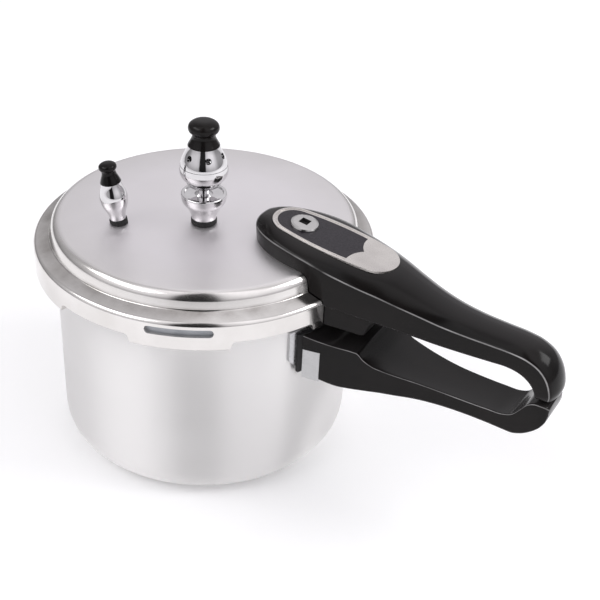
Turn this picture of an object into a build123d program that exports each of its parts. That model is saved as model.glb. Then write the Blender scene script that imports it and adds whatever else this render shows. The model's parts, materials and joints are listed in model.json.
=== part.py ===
from build123d import *
from math import cos, radians, sin
import os

# Stovetop pressure cooker of pressed aluminium, about three litres, with a bayonet lid.
# Frame: millimetres, origin at the centre of the pot's flat base, +Z up, +X out along the two handles.

os.makedirs("parts", exist_ok=True)

# ---------------------------------------------------------------- driving dimensions
POT_R = 92.7                # outside radius of the pot wall
POT_WALL = 2.5
POT_BASE = 4.0
POT_CORNER_R = 20.0         # outside radius between wall and base
POT_HEIGHT = 128.2          # top of the rim flange
POT_FLANGE = 3.4            # thickness of the rim flange
POT_COLLAR_R = 95.4         # flange radius between the lugs
POT_LUG_R = 102.2
POT_LUG_SPAN = 26.0         # degrees

LUG_COUNT = 6
LUG_PITCH = 360 / LUG_COUNT
LUG_OFFSET = -3.6           # angle of the lug nearest the handle, in degrees
LID_LUG_SPAN = 32.0

LID_R = 105.5               # outside radius of the skirt
LID_GAUGE = 2.2             # sheet thickness
LID_TOP = 153.2             # crown of the lid, at its centre
SHOULDER_R, SHOULDER_Z = 93.4, 152.0
SHOULDER_BEND = 6.5
FOOT_R, FOOT_Z = 95.7, 141.9        # where the dome meets the flange
RIM_Z = 139.0               # height of the flange's outer edge
RIM_BEND = 3.5
SKIRT_Z = 127.0             # lower edge of the skirt between the lugs
LUG_Z = 121.2               # underside of the bent lugs
LUG_LIP = 2.8               # thickness of the inward lip
LUG_LIP_R = 96.0            # how far in the lips reach

WINDOW_SPAN = 21.5          # gasket window in the skirt, above one lug, in degrees
WINDOW_LOW, WINDOW_HIGH = 130.6, 135.6
WINDOW_ANGLE = LUG_OFFSET - LUG_PITCH

GASKET_LOW = POT_HEIGHT + 0.3
HANDLE_GAP = 0.5            # between the lid handle and the lid
HANDLE_END = 239.0
BADGE_TILT = 7.2            # the badge slopes down towards the grip, in degrees
BADGE_X, BADGE_Z = 91.5, 163.2
BADGE_THICKNESS = 1.2
BADGE_HALF, BADGE_WIDE, BADGE_END_R = 41.0, 16.8, 14.5
BADGE_BORDER = 3.0
SCREW_ALONG = -21.3         # handle screw, from the middle of the badge along its length
SCREW_HEAD_R = 8.5
STUD_R = 3.0

BRACKET_R = POT_R + 1.6     # outside of the bracket plate on the pot wall
SPACER_R = BRACKET_R + 2.2  # outside of the heat spacer
FERRULE_X = 101.8           # how far out the ferrule reaches
TONGUE_Z = 95.5             # middle height of the bracket's tongue
HANDLE_SCREW_X = 112.0

VENT_X, VENT_Y, VENT_Z = 7.5, -12.5, 153.2
SAFETY_X, SAFETY_Y, SAFETY_Z = -34.3, -41.9, 152.9
SAFETY_LEAN = (-0.114, -0.080, 0.990)
WEIGHT_HOLES, WEIGHT_HOLE_START = 6, -42.0      # first hole's angle in degrees
WEIGHT_HOLE_Z, WEIGHT_HOLE_RISE = 40.8, 0.45    # where their axes meet above the lid, and how they slope
LID_RIVETS = ((61, 9), (61, -9), (80, 9), (80, -9))


# ---------------------------------------------------------------- shared helpers
def section_plane(x, y, z, lean=(0, 0, 1)):
    """Plane through a turned piece: local x is radial, local y runs up its axis."""
    up = Vector(*lean).normalized()
    across = Vector(0, 1, 0).cross(up).normalized()
    return Plane(origin=(x, y, z), x_dir=across, z_dir=across.cross(up))


def spin_axis(plane):
    """Axis of a turned piece drawn on a section plane."""
    return Axis(plane.origin, plane.y_dir)


def across_axis(plane, height):
    """Plane square to a turned piece's axis, at a height along it."""
    return Plane(origin=plane.origin + plane.y_dir * height, x_dir=plane.x_dir, z_dir=plane.y_dir)


def radial_plane(angle):
    """Upright plane through the pot's axis: local x points out at the angle, in degrees."""
    c, s = cos(radians(angle)), sin(radians(angle))
    return Plane(origin=(0, 0, 0), x_dir=(c, s, 0), z_dir=(s, -c, 0))


def outward_plane(angle, radius, height):
    """Plane at a point round the pot, facing straight out from its axis."""
    c, s = cos(radians(angle)), sin(radians(angle))
    return Plane(origin=(radius * c, radius * s, height), x_dir=(-s, c, 0), z_dir=(c, s, 0))


def ring_sector(inner, outer, middle, span, corner=0.0):
    """Flat ring sector round the pot's axis, with its outer corners rounded."""
    start = middle - span / 2
    with BuildSketch(mode=Mode.PRIVATE) as sector:
        with BuildLine():
            outside = CenterArc((0, 0), outer, start, span)
            inside = CenterArc((0, 0), inner, start, span)
            Line(inside @ 0, outside @ 0)
            Line(inside @ 1, outside @ 1)
        make_face()
        if corner:
            fillet(sector.vertices().sort_by_distance((0, 0, 0))[-2:], corner)
    return sector.sketch


def lid_outline(gap=0.0):
    """Filled half section of the lid's outside, grown by a gap, on the XZ plane."""
    with BuildSketch(Plane.XZ, mode=Mode.PRIVATE) as outline:
        with BuildLine():
            top = LID_TOP + gap
            shoulder = (SHOULDER_R + gap, SHOULDER_Z + gap)
            rim = (LID_R + gap, RIM_Z + gap)
            ThreePointArc((0, top), (SHOULDER_R / 2, top - 0.3), shoulder)
            Polyline(shoulder, (FOOT_R + gap, FOOT_Z + gap), rim, (LID_R + gap, LUG_Z))
            Polyline((LID_R + gap, LUG_Z), (0, LUG_Z), (0, top))
        make_face()
        fillet(outline.vertices().sort_by_distance((*shoulder, 0))[0], SHOULDER_BEND)
        fillet(outline.vertices().sort_by_distance((*rim, 0))[0], RIM_BEND)
        fillet(outline.vertices().sort_by_distance((FOOT_R + gap, FOOT_Z + gap, 0))[0], 1.5)
    return outline.sketch


def plan_half(points, end_x, corner, leaving=(1, -0.1)):
    """Handle outline from above: a curve through (x, half width) points, mirrored, with a rounded end."""
    with BuildSketch(mode=Mode.PRIVATE) as plan:
        with BuildLine():
            edge = Spline(*points, tangents=(leaving, (1, 0)))
            last = edge @ 1
            Polyline(last, (end_x, last.Y), (end_x, 0))
            if points[0][1]:
                Line((points[0][0], 0), points[0])
            mirror(about=Plane.XZ)
        make_face()
        fillet(plan.vertices().sort_by_distance((end_x, last.Y, 0))[0], corner)
        fillet(plan.vertices().sort_by_distance((end_x, -last.Y, 0))[0], corner)
    return plan.sketch


# ---------------------------------------------------------------- pot
POT_INSIDE_R = POT_R - POT_WALL
FLANGE_LOW = POT_HEIGHT - POT_FLANGE
RIVET_ANGLES = (-12, 12)
RIVET_HEIGHTS = (93, 108)
RIVET_R = 2.0

with BuildPart() as pot_shell:
    with BuildSketch(Plane.XZ) as pot_section:
        with BuildLine():
            Polyline(
                (0, 0), (POT_R, 0), (POT_R, FLANGE_LOW), (POT_COLLAR_R, FLANGE_LOW), (POT_COLLAR_R,
                                                                                      POT_HEIGHT),
                (POT_INSIDE_R, POT_HEIGHT), (POT_INSIDE_R, POT_BASE), (0, POT_BASE), close=True,
            )
        make_face()
        fillet(pot_section.vertices().sort_by_distance((POT_R, 0, 0))[0], POT_CORNER_R)
        fillet(pot_section.vertices().sort_by_distance((POT_INSIDE_R, POT_BASE, 0))[0],
               POT_CORNER_R - POT_WALL)
    revolve(axis=Axis.Z)
    with BuildSketch(Plane.XY.offset(FLANGE_LOW)):
        for lug in range(LUG_COUNT):
            add(ring_sector(POT_R, POT_LUG_R, LUG_OFFSET + lug * LUG_PITCH, POT_LUG_SPAN, corner=3.0))
    extrude(amount=POT_FLANGE)
    for angle in RIVET_ANGLES:
        for height in RIVET_HEIGHTS:
            with BuildSketch(outward_plane(angle, POT_INSIDE_R - 2, height)):
                Circle(RIVET_R)
            extrude(amount=POT_WALL + 4, mode=Mode.SUBTRACT)
pot_shell.part.label = "pot_shell"
export_step(pot_shell.part, "parts/pot_shell.step")

# Curved steel plate on the pot wall, with a tongue that carries the handle.
PLATE_LOW, PLATE_HIGH, PLATE_SPAN = 87.0, 116.0, 48.0
TONGUE_THICKNESS, TONGUE_WIDTH = 3.0, 16.0
TONGUE_END = 121.0

with BuildPart() as pot_bracket:
    with BuildSketch(Plane.XY.offset(PLATE_LOW)):
        add(ring_sector(POT_R, BRACKET_R, 0, PLATE_SPAN))
    extrude(amount=PLATE_HIGH - PLATE_LOW)
    for angle in (-PLATE_SPAN / 2, PLATE_SPAN / 2):
        with BuildSketch(outward_plane(angle, POT_R - 2, PLATE_LOW)):
            RegularPolygon(9, 4)
        extrude(amount=6, mode=Mode.SUBTRACT)
    with BuildSketch(Plane.XY.offset(TONGUE_Z - TONGUE_THICKNESS / 2)):
        with Locations(((POT_R + TONGUE_END) / 2, 0)):
            Rectangle(TONGUE_END - POT_R, TONGUE_WIDTH)
    extrude(amount=TONGUE_THICKNESS)
    with BuildSketch(Plane.XY.offset(PLATE_LOW)):
        Circle(POT_R)
    extrude(amount=PLATE_HIGH - PLATE_LOW, mode=Mode.SUBTRACT)
    with BuildSketch(Plane.XY.offset(TONGUE_Z - TONGUE_THICKNESS)):
        with Locations((HANDLE_SCREW_X, 0)):
            Circle(2.6)
    extrude(amount=2 * TONGUE_THICKNESS, mode=Mode.SUBTRACT)
    for angle in RIVET_ANGLES:
        for height in RIVET_HEIGHTS:
            with BuildSketch(outward_plane(angle, POT_R - 2, height)):
                Circle(RIVET_R)
            extrude(amount=6, mode=Mode.SUBTRACT)
pot_bracket.part.label = "pot_bracket"
export_step(pot_bracket.part, "parts/pot_bracket.step")

with BuildPart() as pot_bracket_rivets:
    for angle in RIVET_ANGLES:
        for height in RIVET_HEIGHTS:
            with BuildSketch(outward_plane(angle, POT_INSIDE_R - 1.2, height)):
                Circle(3.8)
            extrude(amount=1.0)
            with BuildSketch(outward_plane(angle, POT_INSIDE_R - 0.4, height)):
                Circle(RIVET_R - 0.02)
            extrude(amount=POT_WALL + 2.2)
            with BuildSketch(outward_plane(angle, BRACKET_R + 0.05, height)):
                Circle(3.4)
            extrude(amount=1.4)
pot_bracket_rivets.part.label = "pot_bracket_rivets"
export_step(pot_bracket_rivets.part, "parts/pot_bracket_rivets.step")

with BuildPart() as heat_spacer:
    with BuildSketch(Plane.XY.offset(PLATE_LOW + 0.5)):
        add(ring_sector(BRACKET_R, SPACER_R, 0, 42))
    extrude(amount=PLATE_HIGH - PLATE_LOW - 2.5)
    for angle in RIVET_ANGLES:
        for height in RIVET_HEIGHTS:
            with BuildSketch(outward_plane(angle, BRACKET_R - 2, height)):
                Circle(3.8)
            extrude(amount=6, mode=Mode.SUBTRACT)
    with BuildSketch(outward_plane(0, BRACKET_R - 2, TONGUE_Z)):
        Rectangle(TONGUE_WIDTH + 0.4, TONGUE_THICKNESS + 0.4)
    extrude(amount=6, mode=Mode.SUBTRACT)
heat_spacer.part.label = "heat_spacer"
export_step(heat_spacer.part, "parts/heat_spacer.step")

# ---------------------------------------------------------------- pot handle
POT_GRIP_PLAN = [(86, 32.2), (101, 30.3), (118, 25.8), (132, 22.2), (148, 18.6), (168, 15.2), (195, 14.0),
                 (228, 13.2)]
POT_HANDLE_END = 236.5
FERRULE_LOW, FERRULE_HIGH, FERRULE_GAUGE = 83.0, 103.5, 1.4


def ferrule_block(inset, low, high):
    """Prism of the handle's root out to the ferrule's edge, drawn in from the handle's side by an inset."""
    with BuildPart(mode=Mode.PRIVATE) as block:
        with BuildSketch(Plane.XY.offset(low)):
            with BuildLine():
                near, far = 32.6 - inset, 30.15 - inset
                Polyline((85, near), (FERRULE_X, far), (FERRULE_X, -far), (85, -near), close=True)
            make_face()
            Circle(SPACER_R, mode=Mode.SUBTRACT)
        extrude(amount=high - low)
    return block.part


with BuildPart() as pot_handle:
    with BuildSketch(Plane.XZ):
        with BuildLine():
            belly = Spline((88, 87.6), (101, 84.2), (116, 82.2), (138, 83.2), (165, 85.4), (190, 86.0),
                           (212, 85.3))
            tail = Spline(belly @ 1, (224, 87.3), (232, 93.0), (POT_HANDLE_END, 101.5),
                          tangents=(belly % 1, (0, 1)))
            Polyline(tail @ 1, (POT_HANDLE_END, 110.0), (225.5, 110.0))
            heel = Spline((225.5, 110.0), (221.5, 105.5), (217.5, 99.2), (211, 96.4),
                          tangents=((-1, -0.4), (-1, -0.1)))
            top = Spline(heel @ 1, (190, 96.2), (168, 97.2), (145, 98.6), tangents=((-1, 0), (-1, 0.06)))
            ramp = Spline(top @ 1, (132, 100.6), (123.5, 109.6), tangents=((-1, 0.06), (-0.5, 1)))
            Polyline(ramp @ 1, (120, 109.4), (88, 113.8), belly @ 0)
        make_face()
    extrude(amount=40, both=True)
    with BuildSketch(Plane.XY.offset(75)):
        add(plan_half(POT_GRIP_PLAN, POT_HANDLE_END, 6.0))
    extrude(amount=50, mode=Mode.INTERSECT)
    with BuildSketch(Plane.XY.offset(75)):
        Circle(SPACER_R)
    extrude(amount=50, mode=Mode.SUBTRACT)
    add(ferrule_block(-3, FERRULE_LOW - 8, FERRULE_HIGH), mode=Mode.SUBTRACT)
    add(ferrule_block(FERRULE_GAUGE + 0.1, FERRULE_LOW + FERRULE_GAUGE + 0.1, FERRULE_HIGH))
    with BuildSketch(Plane.XY.offset(TONGUE_Z - TONGUE_THICKNESS / 2 - 0.2)):
        with Locations((TONGUE_END / 2 + 0.2, 0)):
            Rectangle(TONGUE_END, TONGUE_WIDTH + 0.4)
    extrude(amount=TONGUE_THICKNESS + 0.4, mode=Mode.SUBTRACT)
    with BuildSketch(Plane.XY.offset(TONGUE_Z)):
        with Locations((HANDLE_SCREW_X, 0)):
            Rectangle(8.4, 8.4)
    extrude(amount=6.4, mode=Mode.SUBTRACT)
    with BuildSketch(Plane.XY.offset(75)):
        with Locations((HANDLE_SCREW_X, 0)):
            Circle(2.7)
    extrude(amount=20, mode=Mode.SUBTRACT)
    with BuildSketch(Plane.XY.offset(75)):
        with Locations((HANDLE_SCREW_X, 0)):
            Circle(4.9)
    extrude(amount=11, mode=Mode.SUBTRACT)
pot_handle.part.label = "pot_handle"
export_step(pot_handle.part, "parts/pot_handle.step")

with BuildPart() as handle_ferrule:
    add(ferrule_block(0, FERRULE_LOW, FERRULE_HIGH))
    add(ferrule_block(FERRULE_GAUGE, FERRULE_LOW + FERRULE_GAUGE, FERRULE_HIGH + 1), mode=Mode.SUBTRACT)
handle_ferrule.part.label = "handle_ferrule"
export_step(handle_ferrule.part, "parts/handle_ferrule.step")

with BuildPart() as pot_handle_screw:
    with BuildSketch(Plane.XY.offset(83.2)):
        with Locations((HANDLE_SCREW_X, 0)):
            Circle(4.6)
    extrude(amount=2.8)
    with BuildSketch(Plane.XY.offset(86)):
        with Locations((HANDLE_SCREW_X, 0)):
            Circle(2.45)
    extrude(amount=15)
    with BuildSketch(Plane.XY.offset(83.2)):
        with Locations((HANDLE_SCREW_X, 0)):
            Rectangle(6.5, 1.1)
            Rectangle(1.1, 6.5)
    extrude(amount=1.6, mode=Mode.SUBTRACT)
pot_handle_screw.part.label = "pot_handle_screw"
export_step(pot_handle_screw.part, "parts/pot_handle_screw.step")

with BuildPart() as pot_handle_nut:
    with BuildSketch(Plane.XY.offset(TONGUE_Z + TONGUE_THICKNESS / 2)):
        with Locations((HANDLE_SCREW_X, 0)):
            Rectangle(8, 8)
            Circle(2.5, mode=Mode.SUBTRACT)
    extrude(amount=4)
pot_handle_nut.part.label = "pot_handle_nut"
export_step(pot_handle_nut.part, "parts/pot_handle_nut.step")

# ---------------------------------------------------------------- lid
with BuildPart() as lid_window:
    with BuildSketch(Plane.XY.offset(WINDOW_LOW)):
        add(ring_sector(LID_R - 4, LID_R + 3, WINDOW_ANGLE, WINDOW_SPAN))
    extrude(amount=WINDOW_HIGH - WINDOW_LOW)
    ends = lid_window.faces().filter_by(GeomType.PLANE).filter_by(lambda f: abs(f.normal_at().Z) < 0.1)
    fillet([e for f in ends for e in f.edges().filter_by(lambda e: abs((e % 0.5).Z) < 0.1)], 2.4)

with BuildPart() as lid_shell:
    add(lid_outline())
    revolve(axis=Axis.Z)
    offset(amount=-LID_GAUGE, openings=lid_shell.faces().sort_by(Axis.Z)[0])
    with BuildSketch(Plane.XY.offset(LUG_Z - 2)):
        for lug in range(LUG_COUNT):
            middle = LUG_OFFSET + (lug + 0.5) * LUG_PITCH
            add(ring_sector(LID_R - 6, LID_R + 6, middle, LUG_PITCH - LID_LUG_SPAN))
    extrude(amount=SKIRT_Z - LUG_Z + 2, mode=Mode.SUBTRACT)
    for lug in range(LUG_COUNT):
        with BuildSketch(radial_plane(LUG_OFFSET + lug * LUG_PITCH - LID_LUG_SPAN / 2)) as lip_section:
            with Locations(((LUG_LIP_R + LID_R) / 2, LUG_Z + LUG_LIP / 2)):
                Rectangle(LID_R - LUG_LIP_R, LUG_LIP)
        revolve(axis=Axis.Z, revolution_arc=LID_LUG_SPAN)
    add(lid_window.part, mode=Mode.SUBTRACT)
    with BuildSketch(Plane.XY.offset(SAFETY_Z - 8)):
        with Locations((VENT_X, VENT_Y)):
            Circle(5.1)
        with Locations((SAFETY_X, SAFETY_Y)):
            Circle(4.4)
        with Locations(*LID_RIVETS):
            Circle(1.6)
    extrude(amount=12, mode=Mode.SUBTRACT)
lid_shell.part.label = "lid_shell"
export_step(lid_shell.part, "parts/lid_shell.step")

GASKET_TOP = 136.6
with BuildPart() as gasket:
    with BuildSketch(Plane.XZ):
        with BuildLine():
            Polyline(
                (102.9, GASKET_LOW), (102.9, GASKET_TOP), (93.5, GASKET_TOP), (92.0, 134.0), (99.3, 134.0),
                (99.3, 131.4), (93.6, 130.2), (93.6, GASKET_LOW), close=True,
            )
        make_face()
    revolve(axis=Axis.Z)
gasket.part.label = "gasket"
export_step(gasket.part, "parts/gasket.step")

# ---------------------------------------------------------------- lid handle
LID_GRIP_PLAN = [(39.5, 0), (43.5, 13.0), (52, 20.4), (65, 25.6), (82, 28.4), (102, 29.0), (118, 26.6),
                 (132, 23.2),
                 (148, 19.6), (168, 16.2), (195, 14.0), (228, 13.2)]
HEAD_LOW = 153.8

badge_plane = Plane(
    origin=(BADGE_X, 0, BADGE_Z),
    x_dir=(cos(radians(BADGE_TILT)), 0, -sin(radians(BADGE_TILT))),
    z_dir=(sin(radians(BADGE_TILT)), 0, cos(radians(BADGE_TILT))),
)


def badge_oval(inset=0.0):
    """Four-arc oval of the badge, drawn in from its edge by an inset, about its own middle."""
    half, wide, end_r = BADGE_HALF - inset, BADGE_WIDE - inset, BADGE_END_R - inset
    side_r = ((half - end_r) ** 2 + wide ** 2 - end_r ** 2) / (2 * (wide - end_r))
    x = (half - end_r) * side_r / (side_r - end_r)
    y = (side_r - wide) * end_r / (side_r - end_r)
    with BuildSketch(mode=Mode.PRIVATE) as oval:
        with BuildLine():
            ThreePointArc((-x, y), (0, wide), (x, y))
            ThreePointArc((x, y), (half, 0), (x, -y))
            ThreePointArc((x, -y), (0, -wide), (-x, -y))
            ThreePointArc((-x, -y), (-half, 0), (-x, y))
        make_face()
    return oval.sketch


badge_face = badge_oval()
badge_recess = badge_oval(inset=-0.1)

with BuildPart() as lid_handle:
    with BuildSketch(Plane.XZ):
        with BuildLine():
            nose = Spline((38.5, 158.5), (42.5, 165.2), (50, 167.4), tangents=((0, 1), (1, 0)))
            crown = Spline(nose @ 1, (72, 165.3), (100, 161.9), (131, 157.6), (150, 151.6), (170, 145.9),
                           (190, 143.2), (212, 142.0), tangents=((1, -0.05), (1, -0.08)))
            knuckle = Spline(crown @ 1, (226, 138.4), (235.5, 130.0), (HANDLE_END + 1, 119.0),
                             tangents=((1, -0.08), (0.1, -1)))
            Polyline(knuckle @ 1, (HANDLE_END + 1, 112.8), (227.2, 112.8))
            hook = Spline((227.2, 112.8), (225.2, 118.2), (219.8, 123.8), (209, 127.0),
                          tangents=((0, 1), (-1, 0)))
            belly = Spline(hook @ 1, (190, 126.8), (173, 126.5), (152, 128.8), (133, 131.6),
                           tangents=((-1, 0), (-1, 0.1)))
            step = Spline(belly @ 1, (128.6, 128.6), (125.5, 121.0), tangents=((-1, 0.1), (-0.5, -1)))
            Polyline(step @ 1, (104, 123.2), (90, 123.2), (90, HEAD_LOW), (38.5, HEAD_LOW), nose @ 0)
        make_face()
    extrude(amount=40, both=True)
    with BuildSketch(Plane.XY.offset(110)):
        add(plan_half(LID_GRIP_PLAN, HANDLE_END, 6.0, leaving=(0, 1)))
    extrude(amount=62, mode=Mode.INTERSECT)
    with BuildSketch(badge_plane.offset(-BADGE_THICKNESS)):
        add(badge_recess)
    extrude(amount=8, mode=Mode.SUBTRACT)
    with BuildSketch(Plane.XZ):
        with BuildLine():
            Polyline((56, HEAD_LOW - 1), (56, 159.6), (86, 158.0), (86, HEAD_LOW - 1), close=True)
        make_face()
    extrude(amount=15, both=True, mode=Mode.SUBTRACT)
    with BuildSketch(badge_plane.offset(-20)):
        with Locations((SCREW_ALONG, 0)):
            Circle(STUD_R + 2.4)
    extrude(amount=20, mode=Mode.SUBTRACT)
    add(lid_outline(gap=HANDLE_GAP))
    revolve(axis=Axis.Z, mode=Mode.SUBTRACT)
lid_handle.part.label = "lid_handle"
export_step(lid_handle.part, "parts/lid_handle.step")

INLAY_DEPTH = 0.5
TAIL_CUSP_X, TAIL_CORNER_X = 19.2, 15.2     # end of the black inlay: on the centre line, and at the border
TAIL_LOBE = (15.4, 6.6)                     # middle of each scallop between them
GROOVE_IN, GROOVE_WIDTH, GROOVE_DEPTH = 1.5, 0.5, 0.3


def black_end(shift):
    """Everything on the screw's side of two scallops that end the inlay, moved along the badge by a shift."""
    side = BADGE_WIDE
    cusp = (TAIL_CUSP_X + shift, 0)
    lobe_x, lobe_y = TAIL_LOBE[0] + shift, TAIL_LOBE[1]
    corner_x = TAIL_CORNER_X + shift
    with BuildSketch(mode=Mode.PRIVATE) as region:
        with BuildLine():
            ThreePointArc((corner_x, side), (lobe_x, lobe_y), cusp)
            ThreePointArc(cusp, (lobe_x, -lobe_y), (corner_x, -side))
            Polyline((corner_x, -side), (-BADGE_HALF, -side), (-BADGE_HALF, side), (corner_x, side))
        make_face()
    return region.sketch


def inlay_face(inset):
    """Oval inside the badge's border, on the screw's side of the silver tail."""
    with BuildSketch(mode=Mode.PRIVATE) as face:
        add(badge_oval(inset=inset))
        add(black_end(BADGE_BORDER - inset), mode=Mode.INTERSECT)
    return face.sketch


with BuildSketch(mode=Mode.PRIVATE) as groove:
    add(badge_oval(inset=GROOVE_IN))
    add(badge_oval(inset=GROOVE_IN + GROOVE_WIDTH), mode=Mode.SUBTRACT)
    add(black_end(0), mode=Mode.INTERSECT)

inlay_recess = inlay_face(BADGE_BORDER - 0.05)
inlay_oval = inlay_face(BADGE_BORDER)

with BuildPart() as badge_plate:
    with BuildSketch(badge_plane.offset(-BADGE_THICKNESS)):
        add(badge_face)
        with Locations((SCREW_ALONG, 0)):
            Circle(STUD_R + 2.4, mode=Mode.SUBTRACT)
    extrude(amount=BADGE_THICKNESS + 0.3)
    with BuildSketch(badge_plane.offset(0.3 - INLAY_DEPTH)):
        add(inlay_recess)
    extrude(amount=INLAY_DEPTH, mode=Mode.SUBTRACT)
    with BuildSketch(badge_plane.offset(0.3 - GROOVE_DEPTH)):
        add(groove.sketch)
    extrude(amount=GROOVE_DEPTH, mode=Mode.SUBTRACT)
badge_plate.part.label = "badge_plate"
export_step(badge_plate.part, "parts/badge_plate.step")

with BuildPart() as badge_inlay:
    with BuildSketch(badge_plane.offset(0.35 - INLAY_DEPTH)):
        add(inlay_oval)
        with Locations((SCREW_ALONG, 0)):
            Circle(STUD_R + 2.4, mode=Mode.SUBTRACT)
    extrude(amount=INLAY_DEPTH - 0.1)
badge_inlay.part.label = "badge_inlay"
export_step(badge_inlay.part, "parts/badge_inlay.step")

screw_plane = Plane(
    origin=badge_plane.origin + badge_plane.x_dir * SCREW_ALONG,
    x_dir=badge_plane.x_dir,
    z_dir=badge_plane.z_dir,
)
screw_section = section_plane(*screw_plane.origin, lean=screw_plane.z_dir)

with BuildPart() as lid_handle_screw:
    with BuildSketch(screw_section):
        with BuildLine():
            Polyline((0, 2.4), (4.0, 2.4), (7.0, 2.2), (8.2, 1.7), (SCREW_HEAD_R, 0.9), (SCREW_HEAD_R, 0.3),
                     (STUD_R + 2.2, 0.3), (STUD_R + 2.2, -5.5), (0, -5.5), close=True)
        make_face()
    revolve(axis=spin_axis(screw_section))
    with BuildSketch(screw_plane.offset(0.2)):
        Rectangle(5.8, 5.8)
    extrude(amount=4, mode=Mode.SUBTRACT)
    with BuildSketch(screw_plane.offset(-6)):
        Circle(STUD_R + 0.05)
    extrude(amount=5, mode=Mode.SUBTRACT)
lid_handle_screw.part.label = "lid_handle_screw"
export_step(lid_handle_screw.part, "parts/lid_handle_screw.step")

with BuildPart() as lid_bracket:
    with BuildSketch(Plane.XY.offset(150)):
        with Locations((70.5, 0)):
            Rectangle(29, 28)
    extrude(amount=4.6)
    with BuildSketch(screw_plane.offset(-13.5)):
        Circle(STUD_R)
    extrude(amount=12)
    with BuildSketch(screw_plane.offset(-13.5)):
        Circle(5.4)
    extrude(amount=7.5)
    add(lid_outline(gap=0.02))
    revolve(axis=Axis.Z, mode=Mode.SUBTRACT)
    with BuildSketch(Plane.XY.offset(145)):
        with Locations(*LID_RIVETS):
            Circle(1.6)
    extrude(amount=15, mode=Mode.SUBTRACT)
lid_bracket.part.label = "lid_bracket"
export_step(lid_bracket.part, "parts/lid_bracket.step")

with BuildPart() as lid_bracket_rivets:
    for x, y in LID_RIVETS:
        with BuildSketch(Plane.XY.offset(148.6)):
            with Locations((x, y)):
                Circle(2.9)
        extrude(amount=1.1)
        with BuildSketch(Plane.XY.offset(149.2)):
            with Locations((x, y)):
                Circle(1.55)
        extrude(amount=5.6)
        with BuildSketch(Plane.XY.offset(154.62)):
            with Locations((x, y)):
                Circle(2.8)
        extrude(amount=1.1)
lid_bracket_rivets.part.label = "lid_bracket_rivets"
export_step(lid_bracket_rivets.part, "parts/lid_bracket_rivets.step")

# ---------------------------------------------------------------- weight valve
vent_section = section_plane(VENT_X, VENT_Y, VENT_Z)
vent_axis = spin_axis(vent_section)
INSIDE = -LID_GAUGE - 0.3   # a little below the lid's inner face, from the valve's base
NOZZLE_R, NOZZLE_TOP = 4.0, 33.0
SHANK_R = 5.0
SEAM = 39.0                 # where the weight's two halves meet
NEEDLE_R = 2.6

with BuildPart() as vent_washer:
    with BuildSketch(vent_section):
        with BuildLine():
            Polyline((SHANK_R + 0.05, 0), (7.4, 0), (7.9, 0.8), (7.9, 3.0), (7.4, 3.7),
                     (SHANK_R + 0.05, 3.7), close=True)
        make_face()
    revolve(axis=vent_axis)
vent_washer.part.label = "vent_washer"
export_step(vent_washer.part, "parts/vent_washer.step")

with BuildPart() as vent_nozzle:
    with BuildSketch(vent_section):
        with BuildLine():
            bowl = Spline((7.6, 3.8), (8.4, 7.2), (11.3, 12.2), (13.7, 17.6), tangents=((0, 1), (0.1, 1)))
            lip = Spline(bowl @ 1, (13.9, 19.0), (13.1, 20.4), tangents=((0.1, 1), (-1, 0.1)))
            Polyline(lip @ 1, (11.9, 20.4), (11.4, 19.5), (5.6, 19.5), (NOZZLE_R, 21.0), (NOZZLE_R, 30.0),
                     (2.4, NOZZLE_TOP), (1.3, NOZZLE_TOP), (1.3, -14.0), (SHANK_R - 0.6, -14.0),
                     (SHANK_R, -13.4), (SHANK_R, 3.8), bowl @ 0)
        make_face()
    revolve(axis=vent_axis)
vent_nozzle.part.label = "vent_nozzle"
export_step(vent_nozzle.part, "parts/vent_nozzle.step")

with BuildPart() as vent_nut:
    with BuildSketch(across_axis(vent_section, INSIDE - 5)):
        RegularPolygon(9.5, 6)
        Circle(SHANK_R + 0.03, mode=Mode.SUBTRACT)
    extrude(amount=5)
vent_nut.part.label = "vent_nut"
export_step(vent_nut.part, "parts/vent_nut.step")

with BuildPart() as vent_filter:
    with BuildSketch(vent_section):
        with BuildLine():
            Polyline((SHANK_R + 0.05, -7.7), (8.6, -7.7), (8.6, -15.5), (7.2, -17.6), (0, -17.6),
                     (0, -16.8),
                     (6.8, -16.8), (7.8, -15.2), (7.8, -8.6), (SHANK_R + 0.05, -8.6), close=True)
        make_face()
    revolve(axis=vent_axis)
    with BuildSketch(across_axis(vent_section, -18)):
        with PolarLocations(4.6, 8):
            Circle(0.8)
        Circle(0.8)
    extrude(amount=2, mode=Mode.SUBTRACT)
vent_filter.part.label = "vent_filter"
export_step(vent_filter.part, "parts/vent_filter.step")

with BuildPart() as weight_needle:
    with BuildSketch(vent_section):
        with BuildLine():
            Polyline((0, 32.2), (1.0, 33.2), (NEEDLE_R, 34.8), (NEEDLE_R, 37.4), (7.0, 37.4), (7.0, 40.6),
                     (5.5, 42.6), (0, 42.6), close=True)
        make_face()
    revolve(axis=vent_axis)
weight_needle.part.label = "weight_needle"
export_step(weight_needle.part, "parts/weight_needle.step")

with BuildPart() as weight_bowl:
    with BuildSketch(vent_section):
        with BuildLine():
            side = Spline((9.4, 26.0), (10.6, 27.4), (13.4, 31.4), (14.55, 35.6), (14.2, SEAM - 0.15),
                          tangents=((1, 0.2), (-0.15, 1)))
            Polyline(side @ 1, (7.4, SEAM - 0.15), (7.4, 37.1), (NEEDLE_R + 0.08, 37.1),
                     (NEEDLE_R + 0.08, 34.0),
                     (NOZZLE_R + 0.5, 33.8), (NOZZLE_R + 0.5, 26.0), side @ 0)
        make_face()
    revolve(axis=vent_axis)
weight_bowl.part.label = "weight_bowl"
export_step(weight_bowl.part, "parts/weight_bowl.step")

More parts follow.
